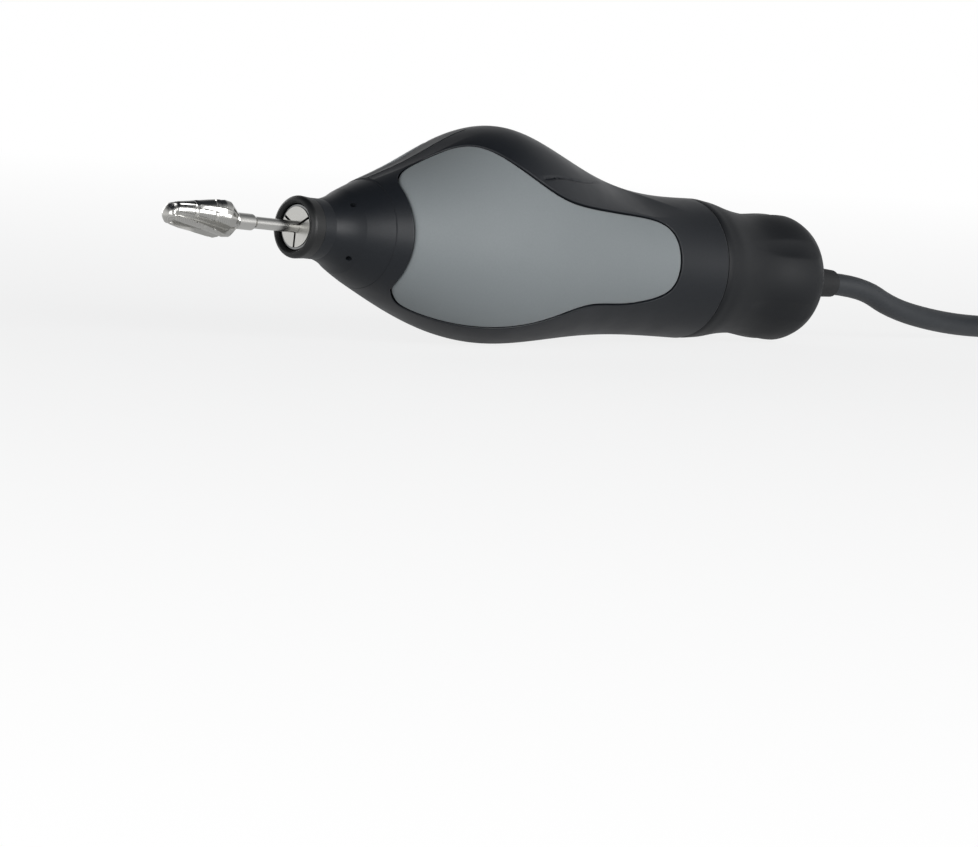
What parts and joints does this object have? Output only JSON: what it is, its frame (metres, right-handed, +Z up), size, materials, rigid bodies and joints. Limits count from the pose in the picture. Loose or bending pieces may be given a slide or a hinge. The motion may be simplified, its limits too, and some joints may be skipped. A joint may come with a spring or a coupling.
{
  "type": "dental micromotor handpiece",
  "caption": "Laboratory micromotor handpiece: swollen grip shell with inlaid pads, collet with a fluted cutter, twist-release sleeve, corded plug.",
  "frame": {"origin": "on the surface it lies on, under the middle of the handpiece with its cutter", "axes": "+X runs to the cord end along the handpiece, the cutter points to -X and slightly up, +Z up"},
  "size_m": [0.3301, 0.0489, 0.0429],
  "materials": {
    "black_shell": "satin moulded plastic",
    "black_ring": "smooth dark ring",
    "grey_pad": "matt soft grip",
    "black_rubber": "matt",
    "cord_sheath": "matt sheath",
    "strap": "woven strap",
    "collet_steel": "ground",
    "spindle_steel": "ground",
    "cutter_steel": "polished",
    "cutter_carbide": "ground blades",
    "bearing_steel": "lapped",
    "cage_polymer": "moulded",
    "spring_steel": "blued",
    "magnet": "plated",
    "brass": "turned",
    "lamination": "stacked sheets",
    "winding": "enamelled wire",
    "alloy": "turned",
    "board": "coated",
    "inner_polymer": "moulded",
    "plug_plastic": "moulded"
  },
  "bodies": {
    "housing": {"nose_ring": "black_ring", "dust_seal": "black_rubber", "nose_cone": "black_shell", "front_o_ring": "black_rubber", "rear_o_ring": "black_rubber", "front_bearing_outer": "bearing_steel", "middle_bearing_outer": "bearing_steel", "rear_bearing_outer": "bearing_steel", "bearing_spacer": "spindle_steel", "stator_core": "lamination", "stator_windings": "winding", "motor_tube": "alloy", "bearing_carrier": "alloy", "preload_spring": "spindle_steel", "sensor_board": "board", "rear_frame": "alloy", "retaining_ring": "spindle_steel", "rear_cap": "black_shell", "cord_gland": "black_rubber", "grip_shell": "black_shell", "left_grip_pad": "grey_pad", "right_grip_pad": "grey_pad", "cord_lead": "cord_sheath", "cord_hank": "cord_sheath", "cord_tail": "cord_sheath", "cord_tie": "strap", "plug_boot": "black_rubber", "plug_shell": "plug_plastic", "plug_barrel": "alloy", "plug_insulator": "inner_polymer", "plug_pins": "brass"},
    "spindle": {"spindle": "spindle_steel", "front_bearing_inner": "bearing_steel", "middle_bearing_inner": "bearing_steel", "rear_bearing_inner": "bearing_steel", "rotor_magnet": "magnet", "balance_rings": "brass", "fan": "inner_polymer", "disc_springs": "spring_steel"},
    "front_cage": {"front_bearing_cage": "cage_polymer", "front_bearing_balls": "bearing_steel"},
    "middle_cage": {"middle_bearing_cage": "cage_polymer", "middle_bearing_balls": "bearing_steel"},
    "rear_cage": {"rear_bearing_cage": "cage_polymer", "rear_bearing_balls": "bearing_steel"},
    "clamp": {"collet": "collet_steel", "drawbar": "collet_steel", "drawbar_nut": "collet_steel"},
    "cutter": {"cutter_head": "cutter_carbide", "cutter_shank": "cutter_steel"},
    "sleeve": {"release_sleeve": "black_shell", "cam_ring": "inner_polymer"},
    "pusher": {"release_pusher": "spindle_steel", "cam_pin": "spindle_steel"}
  },
  "joints": [
    {"name": "spindle_spin", "type": "hinge", "parent": "housing", "child": "spindle", "pos_m": [-0.05771, 0, 0.02286], "axis": [0.9972, 0, -0.0745], "continuous": true},
    {"name": "front_cage_spin", "type": "hinge", "parent": "housing", "child": "front_cage", "pos_m": [-0.05771, 0, 0.02286], "axis": [0.9972, 0, -0.0745], "continuous": true},
    {"name": "middle_cage_spin", "type": "hinge", "parent": "housing", "child": "middle_cage", "pos_m": [-0.05771, 0, 0.02286], "axis": [0.9972, 0, -0.0745], "continuous": true},
    {"name": "rear_cage_spin", "type": "hinge", "parent": "housing", "child": "rear_cage", "pos_m": [-0.05771, 0, 0.02286], "axis": [0.9972, 0, -0.0745], "continuous": true},
    {"name": "sleeve_twist", "type": "hinge", "parent": "housing", "child": "sleeve", "pos_m": [-0.05771, 0, 0.02286], "axis": [0.9972, 0, -0.0745], "range_deg": [0, 50]},
    {"name": "pusher_travel", "type": "slide", "parent": "housing", "child": "pusher", "axis": [-0.9972, 0, 0.0745], "range_m": [0, 0.0008]},
    {"name": "collet_draw", "type": "slide", "parent": "spindle", "child": "clamp", "axis": [-0.9972, 0, 0.0745], "range_m": [0, 0.0008], "deforming": ["disc_springs"]},
    {"name": "cutter_insert", "type": "slide", "parent": "clamp", "child": "cutter", "axis": [-0.9972, 0, 0.0745], "range_m": [0, 0.012]}
  ],
  "couplings": [
    {"joint": "front_cage_spin", "follows": "spindle_spin", "ratio": 0.4},
    {"joint": "middle_cage_spin", "follows": "spindle_spin", "ratio": 0.4},
    {"joint": "rear_cage_spin", "follows": "spindle_spin", "ratio": 0.4},
    {"joint": "pusher_travel", "follows": "sleeve_twist", "m_per_rad": 0.000916},
    {"joint": "collet_draw", "follows": "sleeve_twist", "m_per_rad": 0.000916}
  ]
}
